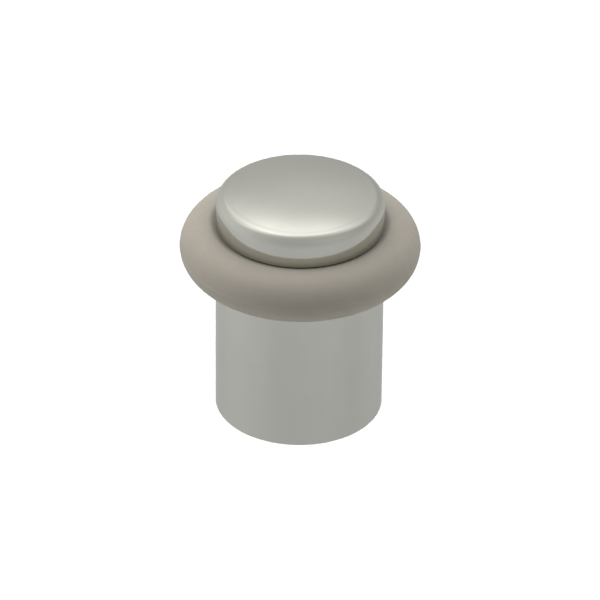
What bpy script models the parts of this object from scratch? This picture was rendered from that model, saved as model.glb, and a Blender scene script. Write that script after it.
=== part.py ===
"""Floor door stop: a cast post, a domed head that screws into it, a rubber bumper ring, and the fixing screw.

The frame is +Z up, in metres, with the origin at floor level in the middle of the base. The head's neck carries the
ring and ends in a right-hand thread. The fixing screw stands in the post's well, ready to be driven into the floor.
"""

import math

import bmesh
import bpy
import numpy as np

# Whole object
POST_RADIUS = 0.0140
POST_HEIGHT = 0.0264
FLANGE_Z = 0.0352
EDGE_ROUND = 0.0003
TURN_SEGMENTS = 48
EDGE_STEPS = 2
OVERRUN = 0.0010
OVERLAP = 0.00003
SAME_POINT = 1e-7
SMOOTH_ANGLE = math.radians(35)

# Post, with a well for the screw and pockets cored from below
WELL_RADIUS = 0.0075
WELL_FLOOR = 0.0040
RELIEF_LOW = 0.0143
RELIEF_RADIUS = 0.0094
SCREW_HOLE_RADIUS = 0.00275
COUNTERSINK_RADIUS = 0.0052
POCKET_INNER_RADIUS = 0.0095
POCKET_OUTER_RADIUS = 0.0120
POCKET_DEPTH = 0.0130
POCKET_COUNT = 6
RIB_WIDTH = 0.0016
POCKET_STEPS = 5
BOSS_RECESS = 0.0004

# Thread between the head and the post
THREAD_PITCH = 0.0015
THREAD_DEPTH = 0.0009
THREAD_CREST_RADIUS = 0.0089
THREAD_LOW = 0.0176
THREAD_TURNS = 5
THREAD_CLEARANCE = 0.00025
THREAD_SEGMENTS = 24
FEMALE_LOW = THREAD_LOW - THREAD_PITCH

# Every thread's profile along one pitch: where it turns, and how far out it is there, from root 0 to crest 1
THREAD_PHASES = (0.0, 0.25, 0.56, 0.69, 1.0)
THREAD_SHARES = (0.0, 0.0, 1.0, 1.0, 0.0)

# Head: domed cap, flange, and the hollow neck that carries the ring
NECK_RADIUS = 0.0105
SEAT_GAP = 0.0003
CAP_WALL_TOP = 0.03864
CAP_CORNER_RADIUS = 0.00186
DOME_RISE = 0.0009
CAP_STEPS = 6
HOLLOW_RADIUS = 0.0055
HOLLOW_TOP = 0.0386
HOLLOW_SEGMENTS = 32

# Bumper ring
RING_Z = (POST_HEIGHT + FLANGE_Z) / 2
RING_BORE_RADIUS = NECK_RADIUS + SEAT_GAP
RING_OUTER_RADIUS = 0.0200
RING_CREST_RADIUS = 0.0150
RING_HALF_HEIGHT = 0.0045
RING_SEAT_HALF = (FLANGE_Z - POST_HEIGHT) / 2 - SEAT_GAP
RING_CORNER = 0.0006
RING_CORNER_STEPS = 3
RING_SHOULDER_STEPS = 5
RING_BULGE_STEPS = 9

# Fixing screw, a countersunk chipboard screw with a cross recess
SCREW_TIP_Z = 0.0002
SCREW_LENGTH = 0.0350
SCREW_HEAD_RADIUS = 0.00485
SCREW_HEAD_RIM = 0.0005
SCREW_SHANK_RADIUS = 0.0018
SCREW_CORE_RADIUS = 0.0016
SCREW_CREST_RADIUS = 0.0025
SCREW_PITCH = 0.0025
SCREW_TURNS = 11
SCREW_POINT_LENGTH = 0.0050
SCREW_POINT_RADIUS = 0.00015
SCREW_SEGMENTS = 16
RECESS_DEPTH = 0.0026
RECESS_SPAN = 0.0052
RECESS_BLADE = 0.0011
RECESS_FOOT_SPAN_SHARE = 0.5
RECESS_FOOT_BLADE_SHARE = 0.7

# Finishes, as colour, metallic and roughness
SATIN_NICKEL = ((0.60, 0.60, 0.555), 1.0, 0.25)
GREY_RUBBER = ((0.27, 0.247, 0.213), 0.0, 0.6)
ZINC_STEEL = ((0.55, 0.56, 0.57), 1.0, 0.3)


def clear_scene():
    for obj in list(bpy.data.objects):
        bpy.data.objects.remove(obj, do_unlink=True)


def material(name, color, metallic, roughness):
    made = bpy.data.materials.new(name)
    made.use_nodes = True
    shader = made.node_tree.nodes["Principled BSDF"]
    shader.inputs["Base Color"].default_value = (*color, 1.0)
    shader.inputs["Metallic"].default_value = metallic
    shader.inputs["Roughness"].default_value = roughness
    return made


def add_object(name, mesh_data, finish=None):
    """An object from a bmesh, with its normals outward and its round faces shaded smooth."""
    bmesh.ops.recalc_face_normals(mesh_data, faces=mesh_data.faces)
    mesh = bpy.data.meshes.new(name)
    mesh_data.to_mesh(mesh)
    mesh_data.free()
    mesh.shade_smooth()
    mesh.set_sharp_from_angle(angle=SMOOTH_ANGLE)
    obj = bpy.data.objects.new(name, mesh)
    bpy.context.scene.collection.objects.link(obj)
    if finish:
        mesh.materials.append(finish)
    else:
        obj.hide_render = True
        obj.display_type = "WIRE"
    return obj


def arc(center_r, center_z, radius_r, radius_z, start, end, steps):
    """Points (r, z) along part of an ellipse, from one angle in degrees to another."""
    angles = [math.radians(start + (end - start) * i / steps) for i in range(steps + 1)]
    return [(center_r + radius_r * math.cos(a), center_z + radius_z * math.sin(a)) for a in angles]


def turned(name, profile, finish=None, segments=TURN_SEGMENTS, closed=False):
    """A profile of (r, z) points turned about Z. It starts and ends on the axis, unless it is a closed loop."""
    bm = bmesh.new()
    verts = [bm.verts.new((r, 0.0, z)) for r, z in profile]
    pairs = list(zip(verts, verts[1:]))
    if closed:
        pairs.append((verts[-1], verts[0]))
    edges = [bm.edges.new(pair) for pair in pairs]
    bmesh.ops.spin(
        bm,
        geom=verts + edges,
        cent=(0.0, 0.0, 0.0),
        axis=(0.0, 0.0, 1.0),
        angle=math.tau,
        steps=segments,
        use_merge=True,
    )
    bmesh.ops.remove_doubles(bm, verts=bm.verts, dist=SAME_POINT)
    return add_object(name, bm, finish)


def threaded_rod(name, low, turns, pitch, crest, root, segments, envelope=None):
    """A solid rod with one right-hand helical thread, cut off flat at both ends.

    Each upright column of points is the thread's profile, raised by its share of the pitch. Neighbouring columns are
    joined at points of equal phase, and the ends are closed by fans from the axis.
    """
    high = low + turns * pitch
    limit = envelope or (lambda z: crest)
    bm = bmesh.new()
    columns = []
    for i in range(segments):
        angle = math.tau * i / segments
        shift = pitch * i / segments
        heights = [low + shift + (m + k) * pitch for m in range(-1, turns) for k in THREAD_PHASES[:-1]]
        inside = [z for z in heights if low + SAME_POINT < z < high - SAME_POINT]
        column = []
        for z in [low, *inside, high]:
            phase = ((z - low - shift) / pitch) % 1.0
            share = np.interp(phase, THREAD_PHASES, THREAD_SHARES)
            radius = min(root + (crest - root) * share, limit(z))
            vert = bm.verts.new((radius * math.cos(angle), radius * math.sin(angle), z))
            column.append((z - shift, vert))
        columns.append(column)
    for i in range(segments):
        left = columns[i]
        if i + 1 < segments:
            right = columns[i + 1]
        else:
            right = [(height - pitch, vert) for height, vert in columns[0]]
        join_columns(bm, left, right)
    for end, z in ((0, low), (-1, high)):
        center = bm.verts.new((0.0, 0.0, z))
        for i in range(segments):
            bm.faces.new((center, columns[i][end][1], columns[(i + 1) % segments][end][1]))
    return add_object(name, bm)


def join_columns(bm, left, right):
    """Faces between two columns of (phase height, vertex) pairs, both from the bottom up."""
    a, b = 0, 0
    while a + 1 < len(left) or b + 1 < len(right):
        next_left = left[a + 1][0] if a + 1 < len(left) else math.inf
        next_right = right[b + 1][0] if b + 1 < len(right) else math.inf
        if abs(next_left - next_right) < SAME_POINT:
            bm.faces.new((left[a][1], right[b][1], right[b + 1][1], left[a + 1][1]))
            a, b = a + 1, b + 1
        elif next_left < next_right:
            bm.faces.new((left[a][1], right[b][1], left[a + 1][1]))
            a += 1
        else:
            bm.faces.new((left[a][1], right[b][1], right[b + 1][1]))
            b += 1


def boolean(obj, operation, other):
    modifier = obj.modifiers.new(operation.title() + " " + other.name, "BOOLEAN")
    modifier.operation = operation
    modifier.solver = "EXACT"
    modifier.object = other


def pocket_cutter(index):
    """One of the cored pockets under the post: a sector of a ring, between two ribs."""
    bm = bmesh.new()
    middle = math.tau * (index + 0.5) / POCKET_COUNT
    outline = []
    for radius, order in ((POCKET_OUTER_RADIUS, 1), (POCKET_INNER_RADIUS, -1)):
        half = math.pi / POCKET_COUNT - math.asin(RIB_WIDTH / 2 / radius)
        for i in range(POCKET_STEPS + 1):
            angle = middle + order * half * (2 * i / POCKET_STEPS - 1)
            outline.append((radius * math.cos(angle), radius * math.sin(angle), -OVERRUN))
    face = bm.faces.new([bm.verts.new(point) for point in outline])
    raised = bmesh.ops.extrude_face_region(bm, geom=[face])["geom"]
    top = [v for v in raised if isinstance(v, bmesh.types.BMVert)]
    bmesh.ops.translate(bm, verts=top, vec=(0.0, 0.0, POCKET_DEPTH + OVERRUN))
    return add_object(f"pocket_cutter_{index + 1}", bm)


def make_post(finish):
    """The cast lower part: outer wall, threaded mouth, screw well, countersunk hole and cored underside."""
    bore = THREAD_CREST_RADIUS - THREAD_DEPTH + THREAD_CLEARANCE
    mouth = THREAD_CREST_RADIUS + THREAD_CLEARANCE + EDGE_ROUND
    sink_depth = COUNTERSINK_RADIUS - SCREW_HOLE_RADIUS
    profile = [
        (SCREW_HOLE_RADIUS, BOSS_RECESS),
        (POCKET_OUTER_RADIUS, BOSS_RECESS),
        (POCKET_OUTER_RADIUS, 0.0),
        *arc(POST_RADIUS - EDGE_ROUND, EDGE_ROUND, EDGE_ROUND, EDGE_ROUND, -90, 0, EDGE_STEPS),
        *arc(POST_RADIUS - EDGE_ROUND, POST_HEIGHT - EDGE_ROUND, EDGE_ROUND, EDGE_ROUND, 0, 90, EDGE_STEPS),
        (mouth, POST_HEIGHT),
        (bore, POST_HEIGHT - (mouth - bore)),
        (bore, FEMALE_LOW),
        (RELIEF_RADIUS, FEMALE_LOW),
        (RELIEF_RADIUS, RELIEF_LOW),
        (WELL_RADIUS, RELIEF_LOW),
        (WELL_RADIUS, WELL_FLOOR),
        (COUNTERSINK_RADIUS, WELL_FLOOR),
        (SCREW_HOLE_RADIUS, WELL_FLOOR - sink_depth),
    ]
    post = turned("post", profile, finish, closed=True)
    for index in range(POCKET_COUNT):
        boolean(post, "DIFFERENCE", pocket_cutter(index))
    female = threaded_rod(
        "female_thread_cutter",
        FEMALE_LOW - THREAD_PITCH,
        math.ceil((POST_HEIGHT - FEMALE_LOW) / THREAD_PITCH) + 1,
        THREAD_PITCH,
        THREAD_CREST_RADIUS + THREAD_CLEARANCE,
        bore - OVERLAP,
        THREAD_SEGMENTS,
    )
    boolean(post, "DIFFERENCE", female)
    return post


def make_head(finish):
    """The domed cap with its flange, and the hollow neck that the ring sits on, threaded at its lower end."""
    corner_r = POST_RADIUS - CAP_CORNER_RADIUS
    dome_radius = (corner_r**2 + DOME_RISE**2) / (2 * DOME_RISE)
    dome_top = CAP_WALL_TOP + CAP_CORNER_RADIUS + DOME_RISE
    edge_slope = math.degrees(math.asin(corner_r / dome_radius))
    root = THREAD_CREST_RADIUS - THREAD_DEPTH
    relief_z = POST_HEIGHT - THREAD_PITCH
    core_r = root - EDGE_ROUND
    corner = arc(corner_r, CAP_WALL_TOP, CAP_CORNER_RADIUS, CAP_CORNER_RADIUS, 0, 90 - edge_slope, CAP_STEPS)
    dome = arc(0.0, dome_top - dome_radius, dome_radius, dome_radius, 90 - edge_slope, 90, CAP_STEPS)
    profile = [
        (0.0, THREAD_LOW + THREAD_PITCH),
        (core_r, THREAD_LOW + THREAD_PITCH),
        (core_r, POST_HEIGHT + SEAT_GAP),
        (NECK_RADIUS, POST_HEIGHT + SEAT_GAP),
        (NECK_RADIUS, FLANGE_Z),
        *arc(POST_RADIUS - EDGE_ROUND, FLANGE_Z + EDGE_ROUND, EDGE_ROUND, EDGE_ROUND, -90, 0, EDGE_STEPS),
        *corner,
        *dome[1:-1],
        (0.0, dome_top),
    ]
    head = turned("domed_head", profile, finish)

    def lead_in(z):
        return min(THREAD_CREST_RADIUS, core_r + z - THREAD_LOW, core_r + relief_z + THREAD_DEPTH - z)

    male = threaded_rod(
        "male_thread",
        THREAD_LOW,
        THREAD_TURNS,
        THREAD_PITCH,
        THREAD_CREST_RADIUS,
        root,
        THREAD_SEGMENTS,
        envelope=lead_in,
    )
    boolean(head, "UNION", male)
    hollow = turned(
        "hollow_cutter",
        [
            (0.0, THREAD_LOW - OVERRUN),
            (HOLLOW_RADIUS, THREAD_LOW - OVERRUN),
            (HOLLOW_RADIUS, HOLLOW_TOP - OVERRUN),
            (HOLLOW_RADIUS - OVERRUN, HOLLOW_TOP),
            (0.0, HOLLOW_TOP),
        ],
        segments=HOLLOW_SEGMENTS,
    )
    boolean(head, "DIFFERENCE", hollow)
    return head


def make_ring(finish):
    """The rubber ring: flat where the groove holds it, and a rounded bulge outside."""
    inner = RING_BORE_RADIUS + RING_CORNER
    corner_z = RING_SEAT_HALF - RING_CORNER
    start = POST_RADIUS - EDGE_ROUND
    shoulder = []
    for i in range(RING_SHOULDER_STEPS):
        share = i / RING_SHOULDER_STEPS
        rise = (RING_HALF_HEIGHT - RING_SEAT_HALF) * (1 - math.cos(math.pi * share)) / 2
        shoulder.append((start + (RING_CREST_RADIUS - start) * share, RING_SEAT_HALF + rise))
    bulge_width = RING_OUTER_RADIUS - RING_CREST_RADIUS
    bulge = arc(RING_CREST_RADIUS, 0.0, bulge_width, RING_HALF_HEIGHT, 90, 0, RING_BULGE_STEPS)
    corner = arc(inner, corner_z, RING_CORNER, RING_CORNER, 180, 90, RING_CORNER_STEPS)
    upper = [*corner, *shoulder, *bulge]
    lower = [(r, -z) for r, z in reversed(upper[:-1])]
    profile = [(r, RING_Z + z) for r, z in upper + lower]
    return turned("bumper_ring", profile, finish, closed=True)


def make_screw(finish):
    """The countersunk fixing screw, point down, with its tip just clear of the floor."""
    head_top = SCREW_TIP_Z + SCREW_LENGTH
    cone_top = head_top - SCREW_HEAD_RIM
    cone_low = cone_top - (SCREW_HEAD_RADIUS - SCREW_SHANK_RADIUS)
    thread_top = SCREW_TIP_Z + SCREW_TURNS * SCREW_PITCH
    screw = turned(
        "fixing_screw",
        [
            (0.0, thread_top - OVERRUN),
            (SCREW_SHANK_RADIUS, thread_top - OVERRUN),
            (SCREW_SHANK_RADIUS, cone_low),
            (SCREW_HEAD_RADIUS, cone_top),
            (SCREW_HEAD_RADIUS, head_top),
            (0.0, head_top),
        ],
        finish,
        segments=SCREW_SEGMENTS,
    )

    def point(z):
        taper = (z - SCREW_TIP_Z) / SCREW_POINT_LENGTH
        return SCREW_POINT_RADIUS + SCREW_CREST_RADIUS * min(1.0, taper)

    thread = threaded_rod(
        "screw_thread",
        SCREW_TIP_Z,
        SCREW_TURNS,
        SCREW_PITCH,
        SCREW_CREST_RADIUS,
        SCREW_CORE_RADIUS,
        SCREW_SEGMENTS,
        envelope=point,
    )
    boolean(screw, "UNION", thread)
    for index in range(2):
        boolean(screw, "DIFFERENCE", recess_cutter(index, head_top))
    return screw


def recess_cutter(index, head_top):
    """One blade of the cross recess: a flat wedge that narrows towards its foot."""
    bm = bmesh.new()
    bmesh.ops.create_cube(bm, size=1.0)
    turn = index * math.pi / 2
    for vert in bm.verts:
        above = vert.co.z > 0
        span = RECESS_SPAN if above else RECESS_SPAN * RECESS_FOOT_SPAN_SHARE
        blade = RECESS_BLADE if above else RECESS_BLADE * RECESS_FOOT_BLADE_SHARE
        x, y = vert.co.x * span, vert.co.y * blade
        z = head_top + OVERRUN / 2 if above else head_top - RECESS_DEPTH
        vert.co = (x * math.cos(turn) - y * math.sin(turn), x * math.sin(turn) + y * math.cos(turn), z)
    return add_object(f"recess_cutter_{index + 1}", bm)


def main():
    clear_scene()
    satin_nickel = material("satin_nickel", *SATIN_NICKEL)
    grey_rubber = material("grey_rubber", *GREY_RUBBER)
    zinc_steel = material("zinc_steel", *ZINC_STEEL)
    make_post(satin_nickel)
    make_head(satin_nickel)
    make_ring(grey_rubber)
    make_screw(zinc_steel)


main()
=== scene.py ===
"""The looks of the floor door stop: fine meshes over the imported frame, their materials, and a studio."""

import math

import bmesh
import bpy
import numpy as np
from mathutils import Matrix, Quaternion, Vector


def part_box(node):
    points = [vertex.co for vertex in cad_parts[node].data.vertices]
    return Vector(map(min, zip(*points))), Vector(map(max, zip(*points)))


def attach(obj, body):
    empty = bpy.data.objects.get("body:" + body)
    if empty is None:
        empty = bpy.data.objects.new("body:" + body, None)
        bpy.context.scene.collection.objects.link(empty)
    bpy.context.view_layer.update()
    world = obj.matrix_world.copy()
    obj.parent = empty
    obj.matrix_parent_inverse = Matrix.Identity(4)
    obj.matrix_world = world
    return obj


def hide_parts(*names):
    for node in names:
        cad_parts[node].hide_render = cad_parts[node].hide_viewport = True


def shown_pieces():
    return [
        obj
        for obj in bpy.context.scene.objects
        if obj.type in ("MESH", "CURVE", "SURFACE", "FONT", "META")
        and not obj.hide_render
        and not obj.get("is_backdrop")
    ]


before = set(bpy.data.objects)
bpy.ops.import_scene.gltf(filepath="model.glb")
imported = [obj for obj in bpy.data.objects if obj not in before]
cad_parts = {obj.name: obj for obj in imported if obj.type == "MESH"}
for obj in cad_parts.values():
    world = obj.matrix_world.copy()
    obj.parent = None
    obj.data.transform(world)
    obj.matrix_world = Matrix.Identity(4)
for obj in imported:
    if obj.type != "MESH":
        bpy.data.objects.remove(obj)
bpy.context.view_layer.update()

MM = 0.001

# Places read from the frame
_, post_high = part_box("post")
ring_low, ring_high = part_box("bumper_ring")
head_low, head_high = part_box("domed_head")
screw_low, screw_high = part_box("fixing_screw")
POST_RADIUS = post_high.x
POST_TOP = post_high.z
RING_RADIUS = ring_high.x
RING_Z = (ring_low.z + ring_high.z) / 2
RING_HALF_HEIGHT = (ring_high.z - ring_low.z) / 2
FLANGE_Z = 2 * RING_Z - POST_TOP
HEAD_TOP = head_high.z
THREAD_LOW = head_low.z
SCREW_TIP = screw_low.z
SCREW_TOP = screw_high.z
SCREW_HEAD_RADIUS = screw_high.x

# Every turned piece
SEGMENTS = 240
SMOOTH_ANGLE = math.radians(32)
OVERRUN = 1.0 * MM
SAME_POINT = 1e-7
EDGE_BREAK = 0.15 * MM
FOOT_EDGE = 0.15 * MM
EDGE_STEPS = 8

# Head
CAP_CORNER = 1.86 * MM
FLANGE_DROP = 0.08 * MM
DOME_RISE = 0.9 * MM
CORNER_STEPS = 24
DOME_STEPS = 32
NECK_RADIUS = 10.5 * MM
HOLLOW_RADIUS = 5.5 * MM
HOLLOW_TOP = 38.6 * MM
SEAT_GAP = 0.3 * MM

# Thread between head and post. A shape gives the places along one pitch where a thread bends, as shares
# of the pitch, and how far it stands out at each, as shares of its depth
THREAD_PITCH = 1.5 * MM
THREAD_DEPTH = 0.9 * MM
THREAD_CREST = 8.9 * MM
THREAD_ROOT = THREAD_CREST - THREAD_DEPTH
THREAD_TURNS = 5
THREAD_CLEARANCE = 0.25 * MM
MACHINE_THREAD = (
    (0.0, 0.23, 0.27, 0.54, 0.58, 0.67, 0.71, 0.98, 1.0),
    (0.0, 0.0, 0.06, 0.94, 1.0, 1.0, 0.94, 0.06, 0.0),
)
WOOD_THREAD = (
    (0.0, 0.35, 0.6, 0.66, 0.91, 1.0),
    (0.0, 0.0, 1.0, 1.0, 0.0, 0.0),
)

# Post
WELL_RADIUS = 7.5 * MM
WELL_FLOOR = 4.0 * MM
RELIEF_LOW = 14.3 * MM
RELIEF_RADIUS = 9.4 * MM
SCREW_HOLE_RADIUS = 2.75 * MM
COUNTERSINK_RADIUS = 5.2 * MM
FOOT_RIM_RADIUS = 12.0 * MM
POCKET_INNER = 9.5 * MM
POCKET_OUTER = 11.8 * MM
POCKET_DEPTH = 13.0 * MM
POCKET_COUNT = 6
POCKET_FILLET = 0.5 * MM
POCKET_STEPS = 13
POCKET_FILLET_STEPS = 4
RIB_WIDTH = 1.6 * MM
BOSS_RECESS = 0.4 * MM

# Bumper ring
RING_CREST_RADIUS = 15.0 * MM
RING_SEAT_GAP = 0.26 * MM
RING_SEAT_HALF = (FLANGE_Z - POST_TOP) / 2 - RING_SEAT_GAP
RING_CORNER = 0.6 * MM
SHOULDER_START = POST_RADIUS - 0.3 * MM
SHOULDER_STEPS = 10
BULGE_STEPS = 56
FLASH_HEIGHT = 0.04 * MM
FLASH_HALF_WIDTH = 0.09 * MM
FLASH_STEPS = 6

# Fixing screw
SCREW_SEGMENTS = 96
SCREW_SHANK = 1.8 * MM
SCREW_CORE = 1.6 * MM
SCREW_CREST = 2.5 * MM
SCREW_PITCH = 2.5 * MM
SCREW_TURNS = 11
SCREW_POINT = 5.0 * MM
SCREW_POINT_SHARE = 0.06
SCREW_RIM = 0.5 * MM
SCREW_EDGE = 0.12 * MM
RECESS_DEPTH = 2.6 * MM
RECESS_SPAN = 5.2 * MM
RECESS_BLADE = 1.1 * MM
RECESS_TURN = math.radians(2.0)
RECESS_FOOT_SPAN_SHARE = 0.5
RECESS_FOOT_BLADE_SHARE = 0.7

# Camera
CAMERA_ELEVATION = math.radians(33.07)
CAMERA_DISTANCE = 1.0
CAMERA_ROLL = math.radians(0.59)
CAMERA_SENSOR = 36.0
CAMERA_LENS = 359.8
CAMERA_TARGET = Vector((0.07 * MM, 0.0, 19.8 * MM))

# Materials. A span is the part of a noise's range that is stretched over the whole effect
NOISE_SPAN = (0.3, 0.7)

# Satin nickel
INNER_WALL = 13.2 * MM
OUTER_WALL = 13.5 * MM
LINE_STRETCH = 60.0
STREAK_SQUEEZE = (1.0, 1.0, 0.06)
TONE_SPAN = (0.35, 0.65)
# Painted shade: how far the plating's tone is pushed darker at the foot and paler at the post's top
PAINTED_SHADE_FROM_FOOT_TO_TOP = (-0.9, 0.5)
# The darker nickel is both the dark end of the random tone and the colour of the painted shade at the foot
NICKEL_DARK_AND_FOOT_SHADE = (0.58, 0.582, 0.528, 1.0)
NICKEL_PALE = (0.615, 0.617, 0.562, 1.0)
NICKEL_WORN = (0.68, 0.68, 0.65, 1.0)
CAST_DARK = (0.30, 0.30, 0.29, 1.0)
CAST_PALE = (0.48, 0.48, 0.46, 1.0)
NICKEL_ROUGHNESS = (0.065, 0.095)
HAZE = (-0.01, 0.01)
CAST_ROUGHNESS = 0.26
WEAR_REACH = 0.3 * MM
WEAR_SPAN = (0.42, 0.62)
WEAR_SHARES = (0.0, 0.7)
NICKEL_FINE_BUMP = 4e-7
NICKEL_PEEL_BUMP = 1.2e-6

# Grey rubber
RUBBER_DARK = (0.257, 0.235, 0.198, 1.0)
RUBBER_PALE = (0.288, 0.264, 0.224, 1.0)
# Painted shade: the colour the rubber is darkened to in the crease by the head and post
RUBBER_PAINTED_CREASE_SHADE = (0.20, 0.185, 0.16, 1.0)
RUBBER_DUST = (0.36, 0.34, 0.31, 1.0)
RUBBER_LINE = (0.37, 0.345, 0.305, 1.0)
# How far out from the post the painted crease shade reaches
PAINTED_CREASE_SHADE_REACH = 1.3 * MM
SPECK_SPAN = (0.68, 0.76)
SPECK_SHARES = (0.0, 0.35)
LINE_REACH = 0.12 * MM
LINE_SPAN = (0.36, 0.6)
LINE_SHARES = (0.1, 0.7)
RUBBER_ROUGHNESS = (0.54, 0.68)
RUBBER_FINE_BUMP = 5e-6
RUBBER_WIDE_BUMP = 8e-6

# Zinc-plated steel
ZINC_BLUE = (0.50, 0.52, 0.55, 1.0)
ZINC_YELLOW = (0.62, 0.60, 0.54, 1.0)
ZINC_ROUGHNESS = (0.22, 0.38)
ZINC_BUMP = 1e-6

# Softboxes that light the pieces only: name, azimuth, elevation, radiance
LIGHT_DISTANCE = 0.6
SOFTBOX_SIZE = 0.6
SOFTBOXES = (
    ("left_fill", -80.0, 35.0, 3.1),
    ("right_fill", 80.0, 35.0, 1.85),
    ("top_key", 0.0, 88.0, 2.55),
    ("back_fill", 0.0, 35.0, 1.9),
)

# The pale floor, which the metal doesn't reflect, and the lights on it
FLOOR_SIZE = 6.0
FLOOR_SHADES = ((0.715, 0.715, 0.71, 1.0), (0.725, 0.725, 0.72, 1.0))
FLOOR_ALBEDO = 0.72
FLOOR_RADIANCE = 1.0
FLOOR_ROUGHNESS = 0.9
FLOOR_KEY = ("floor_key", -20.0, 50.0, 0.9)

# What the metal reflects, a little warmer above than below: glows as azimuth, elevation, width, radiance
TINT_REACH = 0.4
GROUND_TINT = (0.985, 1.0, 1.0, 1.0)
SKY_TINT = (1.0, 0.995, 0.985, 1.0)
GLOWS = (
    (-10.0, 49.0, 6.5, 0.76),
    (8.0, 50.0, 6.5, 0.68),
    (-14.0, 60.0, 8.0, 0.55),
    (-41.0, 59.0, 17.0, 0.55),
    (37.0, 56.0, 19.0, 0.48),
    (-18.0, 40.0, 8.0, 0.36),
    (4.0, 35.0, 11.0, 0.15),
    (-58.0, 27.0, 86.0, 0.67),
    (126.0, 46.0, 36.0, 0.16),
    (-110.0, -34.0, 63.0, 0.20),
    (59.0, -13.0, 41.0, 0.26),
    (139.0, -27.0, 74.0, 0.435),
)


def arc(center_r, center_z, radius_r, radius_z, start, end, steps):
    """Points (r, z) along part of an ellipse, from one angle in degrees to another."""
    angles = [math.radians(start + (end - start) * i / steps) for i in range(steps + 1)]
    return [(center_r + radius_r * math.cos(a), center_z + radius_z * math.sin(a)) for a in angles]


def circle(bm, radius, z, segments):
    """A ring of points about Z. On the axis it is the same point over and over."""
    if radius == 0.0:
        return [bm.verts.new((0.0, 0.0, z))] * segments
    angles = [math.tau * i / segments for i in range(segments)]
    return [bm.verts.new((radius * math.cos(a), radius * math.sin(a), z)) for a in angles]


def bridge(bm, first, second):
    """Faces between two rings of points: triangles where one is a point on the axis, and quads elsewhere."""
    for i in range(len(first)):
        j = (i + 1) % len(first)
        bm.faces.new(dict.fromkeys((first[i], first[j], second[j], second[i])))


def sweep(bm, profile, segments=SEGMENTS, start=None):
    """Turns (r, z) points about Z, going on from a ring of points if one is given. Returns the last ring."""
    last = start
    for radius, z in profile:
        ring = circle(bm, radius, z, segments)
        if last:
            bridge(bm, last, ring)
        last = ring
    return last


def thread_wall(bm, shape, origin, low, high, pitch, crest, root, clip, segments=SEGMENTS):
    """The surface of a right-hand thread, open at both ends. Returns its lowest and highest ring of points.

    Each upright column of points is the thread's profile, raised by its share of the pitch. Neighbouring
    columns are joined at points of equal phase.
    """
    columns = []
    for i in range(segments):
        angle = math.tau * i / segments
        shift = pitch * i / segments
        first = math.floor((low - origin - shift) / pitch)
        last = math.ceil((high - origin - shift) / pitch)
        heights = [origin + shift + (m + k) * pitch for m in range(first, last) for k in shape[0][:-1]]
        inside = [z for z in heights if low + SAME_POINT < z < high - SAME_POINT]
        column = []
        for z in [low, *inside, high]:
            share = np.interp(((z - origin - shift) / pitch) % 1.0, *shape)
            radius = clip(root + (crest - root) * share, z)
            column.append((z - shift, bm.verts.new((radius * math.cos(angle), radius * math.sin(angle), z))))
        columns.append(column)
    around = [(height - pitch, vert) for height, vert in columns[0]]
    for left, right in zip(columns, [*columns[1:], around]):
        join_columns(bm, left, right)
    return [column[0][1] for column in columns], [column[-1][1] for column in columns]


def join_columns(bm, left, right):
    """Faces between two columns of (phase height, vertex) pairs, both from the bottom up."""
    a, b = 0, 0
    while a + 1 < len(left) or b + 1 < len(right):
        next_left = left[a + 1][0] if a + 1 < len(left) else math.inf
        next_right = right[b + 1][0] if b + 1 < len(right) else math.inf
        if abs(next_left - next_right) < SAME_POINT:
            bm.faces.new((left[a][1], right[b][1], right[b + 1][1], left[a + 1][1]))
            a, b = a + 1, b + 1
        elif next_left < next_right:
            bm.faces.new((left[a][1], right[b][1], left[a + 1][1]))
            a += 1
        else:
            bm.faces.new((left[a][1], right[b][1], right[b + 1][1]))
            b += 1


def mesh_object(name, bm):
    """An object from a bmesh, with its normals outward."""
    bmesh.ops.recalc_face_normals(bm, faces=bm.faces)
    mesh = bpy.data.meshes.new(name)
    bm.to_mesh(mesh)
    bm.free()
    obj = bpy.data.objects.new(name, mesh)
    bpy.context.scene.collection.objects.link(obj)
    return obj


def cut(obj, cutter):
    """Takes one solid out of another, and removes the cutter."""
    modifier = obj.modifiers.new("Cut", "BOOLEAN")
    modifier.operation = "DIFFERENCE"
    modifier.solver = "EXACT"
    modifier.object = cutter
    evaluated = obj.evaluated_get(bpy.context.evaluated_depsgraph_get())
    obj.data = bpy.data.meshes.new_from_object(evaluated)
    obj.modifiers.clear()
    bpy.data.objects.remove(cutter, do_unlink=True)


def finish_piece(obj, body, node, material):
    """Shades a piece, gives it its material, and lets it stand for its CAD node."""
    obj.data.materials.clear()
    obj.data.materials.append(material)
    obj.data.shade_smooth()
    obj.data.set_sharp_from_angle(angle=SMOOTH_ANGLE)
    weighted = obj.modifiers.new("Weighted Normal", "WEIGHTED_NORMAL")
    weighted.keep_sharp = True
    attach(obj, body)
    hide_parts(node)


def head_outside(core, thread_top):
    """The head's profile from the top of its thread, by the neck and the flange, to the dome's middle."""
    corner_r = POST_RADIUS - CAP_CORNER
    wall_top = HEAD_TOP - DOME_RISE - CAP_CORNER
    dome_radius = (corner_r**2 + DOME_RISE**2) / (2 * DOME_RISE)
    rim_angle = 90 - math.degrees(math.asin(corner_r / dome_radius))
    flange_r = POST_RADIUS - EDGE_BREAK
    flange_z = FLANGE_Z - FLANGE_DROP
    return [
        (core, thread_top),
        (core, POST_TOP + SEAT_GAP),
        (NECK_RADIUS, POST_TOP + SEAT_GAP),
        (NECK_RADIUS, flange_z),
        *arc(flange_r, flange_z + EDGE_BREAK, EDGE_BREAK, EDGE_BREAK, -90, 0, EDGE_STEPS),
        *arc(corner_r, wall_top, CAP_CORNER, CAP_CORNER, 0, rim_angle, CORNER_STEPS),
        *arc(0.0, HEAD_TOP - dome_radius, dome_radius, dome_radius, rim_angle, 90, DOME_STEPS)[1:-1],
        (0.0, HEAD_TOP),
    ]


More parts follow.
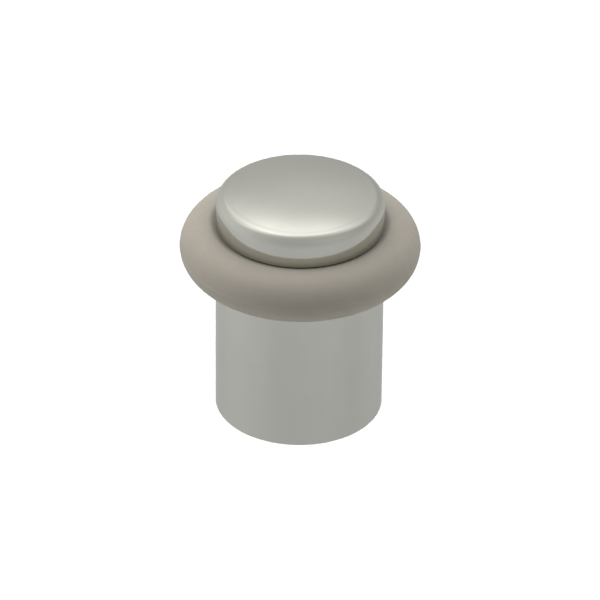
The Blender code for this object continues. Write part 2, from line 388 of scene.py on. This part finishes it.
def make_head():
    """The domed cap and its hollow neck, threaded below."""
    core = THREAD_ROOT - SEAT_GAP
    thread_top = THREAD_LOW + THREAD_TURNS * THREAD_PITCH
    fade_top = POST_TOP - THREAD_PITCH + THREAD_DEPTH
    hollow = [
        (HOLLOW_RADIUS, THREAD_LOW),
        (HOLLOW_RADIUS, HOLLOW_TOP - OVERRUN),
        (HOLLOW_RADIUS - OVERRUN, HOLLOW_TOP),
        (0.0, HOLLOW_TOP),
    ]

    def lead_in(radius, z):
        return min(radius, core + z - THREAD_LOW, core + fade_top - z)

    bm = bmesh.new()
    low, high = thread_wall(
        bm,
        MACHINE_THREAD,
        THREAD_LOW,
        THREAD_LOW,
        thread_top,
        THREAD_PITCH,
        THREAD_CREST,
        THREAD_ROOT,
        lead_in,
    )
    sweep(bm, head_outside(core, thread_top), start=high)
    sweep(bm, hollow, start=low)
    return mesh_object("head_shell", bm)


def make_post():
    """The cast post: outer wall, threaded mouth, screw well, countersunk hole, and pockets from below."""
    thread_low = THREAD_LOW - THREAD_PITCH
    bore = THREAD_ROOT + THREAD_CLEARANCE
    crest = THREAD_CREST + THREAD_CLEARANCE
    mouth = crest + SEAT_GAP
    top_r = POST_RADIUS - EDGE_BREAK
    foot_r = POST_RADIUS - FOOT_EDGE
    outside = [
        *arc(top_r, POST_TOP - EDGE_BREAK, EDGE_BREAK, EDGE_BREAK, 90, 0, EDGE_STEPS),
        *arc(foot_r, FOOT_EDGE, FOOT_EDGE, FOOT_EDGE, 0, -90, EDGE_STEPS),
        (FOOT_RIM_RADIUS, 0.0),
        (FOOT_RIM_RADIUS, BOSS_RECESS),
        (SCREW_HOLE_RADIUS, BOSS_RECESS),
        (SCREW_HOLE_RADIUS, WELL_FLOOR - (COUNTERSINK_RADIUS - SCREW_HOLE_RADIUS)),
        (COUNTERSINK_RADIUS, WELL_FLOOR),
        (WELL_RADIUS, WELL_FLOOR),
        (WELL_RADIUS, RELIEF_LOW),
        (RELIEF_RADIUS, RELIEF_LOW),
        (RELIEF_RADIUS, thread_low),
    ]

    def chamfer(radius, z):
        return max(radius, mouth - (POST_TOP - z))

    bm = bmesh.new()
    low, high = thread_wall(
        bm, MACHINE_THREAD, THREAD_LOW, thread_low, POST_TOP, THREAD_PITCH, crest, bore, chamfer
    )
    bridge(bm, sweep(bm, outside, start=high), low)
    post = mesh_object("post_shell", bm)
    cut(post, pocket_cores())
    return post


def pocket_cores():
    """The cores that leave the six pockets, each a sector of a ring between two ribs, with rounded edges."""
    bm = bmesh.new()
    for index in range(POCKET_COUNT):
        middle = math.tau * (index + 0.5) / POCKET_COUNT
        outline = []
        for radius, order in ((POCKET_OUTER, 1), (POCKET_INNER, -1)):
            half = math.pi / POCKET_COUNT - math.asin(RIB_WIDTH / 2 / radius)
            for i in range(POCKET_STEPS + 1):
                angle = middle + order * half * (2 * i / POCKET_STEPS - 1)
                outline.append((radius * math.cos(angle), radius * math.sin(angle), -OVERRUN))
        face = bm.faces.new([bm.verts.new(point) for point in outline])
        raised = bmesh.ops.extrude_face_region(bm, geom=[face])["geom"]
        top = [item for item in raised if isinstance(item, bmesh.types.BMVert)]
        bmesh.ops.translate(bm, verts=top, vec=(0.0, 0.0, POCKET_DEPTH + OVERRUN))
    bmesh.ops.recalc_face_normals(bm, faces=bm.faces)
    sharp = [edge for edge in bm.edges if edge.calc_face_angle() > SMOOTH_ANGLE]
    bmesh.ops.bevel(
        bm, geom=sharp, offset=POCKET_FILLET, segments=POCKET_FILLET_STEPS, profile=0.5, affect="EDGES"
    )
    return mesh_object("pocket_cores", bm)


def flash_ridge(z):
    """How far the mould's parting line stands out of the rubber at a height from its middle."""
    return FLASH_HEIGHT * math.exp(-((z / FLASH_HALF_WIDTH) ** 2))


def make_ring():
    """The rubber ring: flat where the groove holds it, and a bulge outside with the mould's fine line."""
    inner = NECK_RADIUS + SEAT_GAP + RING_CORNER
    shoulder = []
    for i in range(SHOULDER_STEPS):
        share = i / SHOULDER_STEPS
        out = (RING_CREST_RADIUS - SHOULDER_START) * share
        rise = (RING_HALF_HEIGHT - RING_SEAT_HALF) * (1 - math.cos(math.pi * share)) / 2
        shoulder.append((SHOULDER_START + out, RING_SEAT_HALF + rise))
    width = RING_RADIUS - FLASH_HEIGHT - RING_CREST_RADIUS
    bulge = arc(RING_CREST_RADIUS, 0.0, width, RING_HALF_HEIGHT, 90, 0, BULGE_STEPS)
    line_top = 2 * FLASH_HALF_WIDTH
    line = []
    for i in range(FLASH_STEPS + 1):
        z = line_top * (1 - i / FLASH_STEPS)
        line.append((RING_CREST_RADIUS + width * math.sqrt(1 - (z / RING_HALF_HEIGHT) ** 2), z))
    upper = [
        *arc(inner, RING_SEAT_HALF - RING_CORNER, RING_CORNER, RING_CORNER, 180, 90, EDGE_STEPS),
        *shoulder,
        *[point for point in bulge if point[1] > line_top + SAME_POINT],
        *line,
    ]
    raised = [(r + flash_ridge(z), z) for r, z in upper]
    lower = [(r, -z) for r, z in reversed(raised[:-1])]
    profile = [(r, RING_Z + z) for r, z in raised + lower]
    bm = bmesh.new()
    first = circle(bm, *profile[0], SEGMENTS)
    bridge(bm, sweep(bm, profile[1:], start=first), first)
    return mesh_object("rubber_ring", bm)


def make_screw():
    """The countersunk fixing screw, point down."""
    thread_top = SCREW_TIP + SCREW_TURNS * SCREW_PITCH
    cone_top = SCREW_TOP - SCREW_RIM
    cone_low = cone_top - (SCREW_HEAD_RADIUS - SCREW_SHANK)
    rim_r = SCREW_HEAD_RADIUS - SCREW_EDGE
    upper = [
        (SCREW_SHANK, thread_top),
        (SCREW_SHANK, cone_low),
        (SCREW_HEAD_RADIUS, cone_top),
        *arc(rim_r, SCREW_TOP - SCREW_EDGE, SCREW_EDGE, SCREW_EDGE, 0, 90, EDGE_STEPS),
        (0.0, SCREW_TOP),
    ]

    def point(radius, z):
        return radius * min(1.0, SCREW_POINT_SHARE + (z - SCREW_TIP) / SCREW_POINT)

    bm = bmesh.new()
    low, high = thread_wall(
        bm,
        WOOD_THREAD,
        SCREW_TIP,
        SCREW_TIP,
        thread_top,
        SCREW_PITCH,
        SCREW_CREST,
        SCREW_CORE,
        point,
        SCREW_SEGMENTS,
    )
    sweep(bm, upper, SCREW_SEGMENTS, high)
    sweep(bm, [(0.0, SCREW_TIP)], SCREW_SEGMENTS, low)
    screw = mesh_object("screw_body", bm)
    for turn in (RECESS_TURN, RECESS_TURN + math.pi / 2):
        cut(screw, recess_blade(turn))
    return screw


def recess_blade(turn):
    """One blade of the cross recess: a flat wedge that narrows towards its foot."""
    bm = bmesh.new()
    bmesh.ops.create_cube(bm, size=1.0)
    for vert in bm.verts:
        above = vert.co.z > 0
        x = vert.co.x * RECESS_SPAN * (1.0 if above else RECESS_FOOT_SPAN_SHARE)
        y = vert.co.y * RECESS_BLADE * (1.0 if above else RECESS_FOOT_BLADE_SHARE)
        z = SCREW_TOP + OVERRUN / 2 if above else SCREW_TOP - RECESS_DEPTH
        vert.co = (x * math.cos(turn) - y * math.sin(turn), x * math.sin(turn) + y * math.cos(turn), z)
    return mesh_object("recess_blade", bm)


class Nodes:
    """A short way to write a node tree."""

    def __init__(self, tree):
        self.tree = tree

    def add(self, kind, inputs=None, **settings):
        node = self.tree.nodes.new(kind)
        for key, value in settings.items():
            setattr(node, key, value)
        for key, value in (inputs or {}).items():
            socket = node.inputs[key]
            if isinstance(value, bpy.types.NodeSocket):
                self.tree.links.new(value, socket)
            else:
                socket.default_value = value
        return node

    def math(self, operation, first, second=0.0):
        return self.add("ShaderNodeMath", {0: first, 1: second}, operation=operation).outputs[0]

    def remap(self, value, low, high, to_low, to_high):
        sockets = {"Value": value, "From Min": low, "From Max": high, "To Min": to_low, "To Max": to_high}
        return self.add("ShaderNodeMapRange", sockets).outputs["Result"]

    def noise(self, place, scale, detail=2.0):
        sockets = {"Vector": place, "Scale": scale, "Detail": detail}
        return self.add("ShaderNodeTexNoise", sockets).outputs["Fac"]

    def mix(self, factor, first, second):
        sockets = {"Factor": factor, "A": first, "B": second}
        return self.add("ShaderNodeMix", sockets, data_type="RGBA").outputs["Result"]

    def near(self, value, middle, reach):
        """1 where a value is at a middle, falling to 0 at its reach on either side."""
        away = self.math("ABSOLUTE", self.math("SUBTRACT", value, middle))
        return self.remap(away, 0.0, reach, 1.0, 0.0)

    def bump(self, height, distance, normal=None):
        sockets = {"Height": height, "Distance": distance}
        if normal:
            sockets["Normal"] = normal
        return self.add("ShaderNodeBump", sockets).outputs["Normal"]

    def cylinder_place(self):
        """The object's own coordinates, with the distance from the axis and the height."""
        place = self.add("ShaderNodeTexCoord").outputs["Object"]
        parts = self.add("ShaderNodeSeparateXYZ", {"Vector": place}).outputs
        flat = self.add("ShaderNodeCombineXYZ", {"X": parts["X"], "Y": parts["Y"]}).outputs["Vector"]
        radius = self.add("ShaderNodeVectorMath", {0: flat}, operation="LENGTH").outputs["Value"]
        return place, radius, parts["Z"]

    def finish(self, shader, color, roughness, normal):
        for name, value in (("Base Color", color), ("Roughness", roughness), ("Normal", normal)):
            self.tree.links.new(value, shader.inputs[name])


def new_material(name):
    material = bpy.data.materials.new(name)
    material.use_nodes = True
    return material, material.node_tree.nodes["Principled BSDF"], Nodes(material.node_tree)


def satin_nickel():
    """Satin nickel plating, with fine turning lines and faint clouds, painted shade towards the foot, and a
    dull cast surface inside.
    """
    material, shader, n = new_material("satin_nickel")
    shader.inputs["Metallic"].default_value = 1.0
    place, radius, height = n.cylinder_place()

    # Unpolished: everything nearer the axis than the outer wall, up to the flange
    inward = n.remap(radius, INNER_WALL, OUTER_WALL, 1.0, 0.0)
    below = n.math("LESS_THAN", height, FLANGE_Z + EDGE_BREAK)
    hidden = n.math("MULTIPLY", inward, below)

    # Turning lines run round the piece: the pattern changes fast with radius and height, and slowly around
    out_fast = n.math("MULTIPLY", radius, LINE_STRETCH)
    up_fast = n.math("MULTIPLY", height, LINE_STRETCH)
    across = n.add("ShaderNodeCombineXYZ", {"X": out_fast, "Z": up_fast}).outputs["Vector"]
    line_place = n.add("ShaderNodeVectorMath", {0: across, 1: place}, operation="ADD").outputs["Vector"]
    lines = n.noise(line_place, scale=180.0, detail=3.0)
    clouds = n.noise(place, scale=130.0, detail=3.0)
    grain = n.noise(place, scale=5200.0)
    peel = n.noise(place, scale=520.0)

    # Plating: clouds and tall streaks, painted shade darker towards the foot, and worn paler along edges
    tall = n.add("ShaderNodeVectorMath", {0: place, 1: STREAK_SQUEEZE}, operation="MULTIPLY")
    streaks = n.noise(tall.outputs["Vector"], scale=210.0)
    tone = n.math("ADD", n.math("MULTIPLY", clouds, 0.5), n.math("MULTIPLY", streaks, 0.5))
    # Painted shade: the tone is pushed darker towards the foot, for the shaded floor the lower post reflects
    rise = n.remap(height, 0.0, POST_TOP, *PAINTED_SHADE_FROM_FOOT_TO_TOP)
    tone_and_painted_foot_shade = n.math("ADD", n.remap(tone, *TONE_SPAN, 0.0, 1.0), rise)
    plating_and_painted_foot_shade = n.mix(tone_and_painted_foot_shade, NICKEL_DARK_AND_FOOT_SHADE, NICKEL_PALE)
    cast = n.mix(n.noise(place, scale=900.0, detail=5.0), CAST_DARK, CAST_PALE)
    edge = n.math("MAXIMUM", n.near(height, 0.0, WEAR_REACH), n.near(height, POST_TOP, WEAR_REACH))
    wear = n.remap(n.noise(place, scale=700.0, detail=4.0), *WEAR_SPAN, *WEAR_SHARES)
    worn = n.math("MULTIPLY", edge, wear)
    color = n.mix(hidden, n.mix(worn, plating_and_painted_foot_shade, NICKEL_WORN), cast)

    haze = n.remap(clouds, *NOISE_SPAN, *HAZE)
    polish = n.math("ADD", n.remap(lines, *NOISE_SPAN, *NICKEL_ROUGHNESS), haze)
    rough = n.math("ADD", polish, n.math("MULTIPLY", hidden, CAST_ROUGHNESS))
    fine = n.bump(n.math("ADD", lines, grain), NICKEL_FINE_BUMP)
    n.finish(shader, color, rough, n.bump(peel, NICKEL_PEEL_BUMP, fine))
    return material


def grey_rubber():
    """Matt moulded rubber: fine grain, painted shade in the creases by the metal, and a pale line where the
    mould parted.
    """
    material, shader, n = new_material("grey_rubber")
    place, radius, height = n.cylinder_place()
    clouds = n.noise(place, scale=170.0, detail=5.0)
    grain = n.noise(place, scale=5200.0, detail=3.0)
    specks = n.remap(n.noise(place, scale=2300.0, detail=1.0), *SPECK_SPAN, *SPECK_SHARES)
    body = n.mix(clouds, RUBBER_DARK, RUBBER_PALE)
    # Painted shade: darker near the post's radius, in the crease where the head and post shade the rubber
    painted_crease_shade = n.remap(radius, POST_RADIUS, POST_RADIUS + PAINTED_CREASE_SHADE_REACH, 1.0, 0.0)
    dusted_and_shaded = n.mix(specks, n.mix(painted_crease_shade, body, RUBBER_PAINTED_CREASE_SHADE), RUBBER_DUST)
    outward = n.math("GREATER_THAN", radius, RING_CREST_RADIUS)
    parting = n.math("MULTIPLY", n.near(height, RING_Z, LINE_REACH), outward)
    patches = n.remap(n.noise(place, scale=90.0, detail=3.0), *LINE_SPAN, *LINE_SHARES)
    color = n.mix(n.math("MULTIPLY", parting, patches), dusted_and_shaded, RUBBER_LINE)
    rough = n.remap(n.noise(place, scale=800.0, detail=3.0), *NOISE_SPAN, *RUBBER_ROUGHNESS)
    fine = n.bump(grain, RUBBER_FINE_BUMP)
    n.finish(shader, color, rough, n.bump(n.noise(place, scale=420.0), RUBBER_WIDE_BUMP, fine))
    return material


def zinc_steel():
    """Bright zinc plating over rolled steel: faintly blue and yellow clouds, with fine grain."""
    material, shader, n = new_material("zinc_steel")
    shader.inputs["Metallic"].default_value = 1.0
    place, _, _ = n.cylinder_place()
    color = n.mix(n.noise(place, scale=600.0, detail=4.0), ZINC_BLUE, ZINC_YELLOW)
    rough = n.remap(n.noise(place, scale=2500.0, detail=3.0), *NOISE_SPAN, *ZINC_ROUGHNESS)
    n.finish(shader, color, rough, n.bump(n.noise(place, scale=9000.0), ZINC_BUMP))
    return material


def way_to(azimuth, elevation):
    """The direction to a place in the studio. Azimuth 0 is behind the object, and 90 is to the right."""
    a, e = math.radians(azimuth), math.radians(elevation)
    return Vector((math.sin(a) * math.cos(e), math.cos(a) * math.cos(e), math.sin(e)))


def softbox(name, azimuth, elevation, radiance):
    """A square light that faces the object and doesn't show in reflections."""
    light = bpy.data.lights.new(name, "AREA")
    light.size = SOFTBOX_SIZE
    light.energy = radiance * math.pi * SOFTBOX_SIZE**2
    obj = bpy.data.objects.new(name, light)
    way = way_to(azimuth, elevation)
    obj.location = Vector((0.0, 0.0, RING_Z)) + way * LIGHT_DISTANCE
    obj.rotation_euler = way.to_track_quat("Z", "Y").to_euler()
    obj.visible_glossy = False
    bpy.context.scene.collection.objects.link(obj)
    return obj


def collection_of(name, *objects):
    """A collection for a light's linking, outside the scene's own."""
    made = bpy.data.collections.new(name)
    for obj in objects:
        made.objects.link(obj)
    return made


def make_floor():
    bm = bmesh.new()
    bmesh.ops.create_grid(bm, x_segments=1, y_segments=1, size=FLOOR_SIZE)
    floor = mesh_object("floor", bm)
    material, shader, n = new_material("floor_white")
    place = n.add("ShaderNodeTexCoord").outputs["Object"]
    shade = n.mix(n.noise(place, scale=300.0, detail=3.0), *FLOOR_SHADES)
    n.tree.links.new(shade, shader.inputs["Base Color"])
    shader.inputs["Roughness"].default_value = FLOOR_ROUGHNESS
    shader.inputs["Specular IOR Level"].default_value = 0.0
    floor.data.materials.append(material)
    floor.visible_glossy = False
    floor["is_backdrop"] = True
    return floor


def make_world():
    """What the metal reflects: a dim room with broad soft glows, and a long bright panel high at the back.

    Only reflections see it, and it gives no light to matt surfaces.
    """
    world = bpy.data.worlds.new("studio")
    world.use_nodes = True
    world.cycles_visibility.diffuse = False
    bpy.context.scene.world = world
    n = Nodes(world.node_tree)
    direction = n.add("ShaderNodeTexCoord").outputs["Generated"]
    glow = 0.0
    for azimuth, elevation, width, radiance in GLOWS:
        way = way_to(azimuth, elevation)
        towards = n.add("ShaderNodeVectorMath", {0: direction, 1: way}, operation="DOT_PRODUCT")
        sharpness = 2 / math.radians(width) ** 2
        away = n.math("MULTIPLY", n.math("SUBTRACT", towards.outputs["Value"], 1.0), sharpness)
        glow = n.math("ADD", glow, n.math("MULTIPLY", n.math("EXPONENT", away), radiance))
    up = n.add("ShaderNodeSeparateXYZ", {"Vector": direction}).outputs["Z"]
    tint = n.mix(n.remap(up, -TINT_REACH, TINT_REACH, 0.0, 1.0), GROUND_TINT, SKY_TINT)
    background = world.node_tree.nodes["Background"]
    n.tree.links.new(tint, background.inputs["Color"])
    n.tree.links.new(glow, background.inputs["Strength"])


def make_floor_lights(floor):
    """An even light that keeps the floor pale without shadow, and one from behind that casts a soft one."""
    lit_floor = collection_of("lit_floor", floor)
    sun = bpy.data.lights.new("floor_sun", "SUN")
    sun.energy = FLOOR_RADIANCE * math.pi / FLOOR_ALBEDO
    wash = bpy.data.objects.new("floor_sun", sun)
    wash.visible_glossy = False
    wash.light_linking.receiver_collection = lit_floor
    wash.light_linking.blocker_collection = lit_floor
    bpy.context.scene.collection.objects.link(wash)
    key = softbox(*FLOOR_KEY)
    key.light_linking.receiver_collection = lit_floor


def make_studio(pieces):
    make_world()
    make_floor_lights(make_floor())
    lit_pieces = collection_of("lit_pieces", *pieces)
    for placing in SOFTBOXES:
        light = softbox(*placing)
        light.light_linking.receiver_collection = lit_pieces


def make_camera():
    camera = bpy.data.cameras.new("camera")
    camera.sensor_width = CAMERA_SENSOR
    camera.lens = CAMERA_LENS
    obj = bpy.data.objects.new("camera", camera)
    back = Vector((0.0, -math.cos(CAMERA_ELEVATION), math.sin(CAMERA_ELEVATION)))
    obj.location = CAMERA_TARGET + back * CAMERA_DISTANCE
    obj.rotation_mode = "QUATERNION"
    obj.rotation_quaternion = Quaternion(back, CAMERA_ROLL) @ (-back).to_track_quat("-Z", "Y")
    bpy.context.scene.collection.objects.link(obj)
    bpy.context.scene.camera = obj


def main():
    make_camera()
    bpy.context.scene.view_settings.view_transform = "Standard"
    nickel = satin_nickel()
    finish_piece(make_head(), "head", "domed_head", nickel)
    finish_piece(make_post(), "post", "post", nickel)
    finish_piece(make_ring(), "bumper", "bumper_ring", grey_rubber())
    finish_piece(make_screw(), "fixing_screw", "fixing_screw", zinc_steel())
    make_studio(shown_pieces())


main()
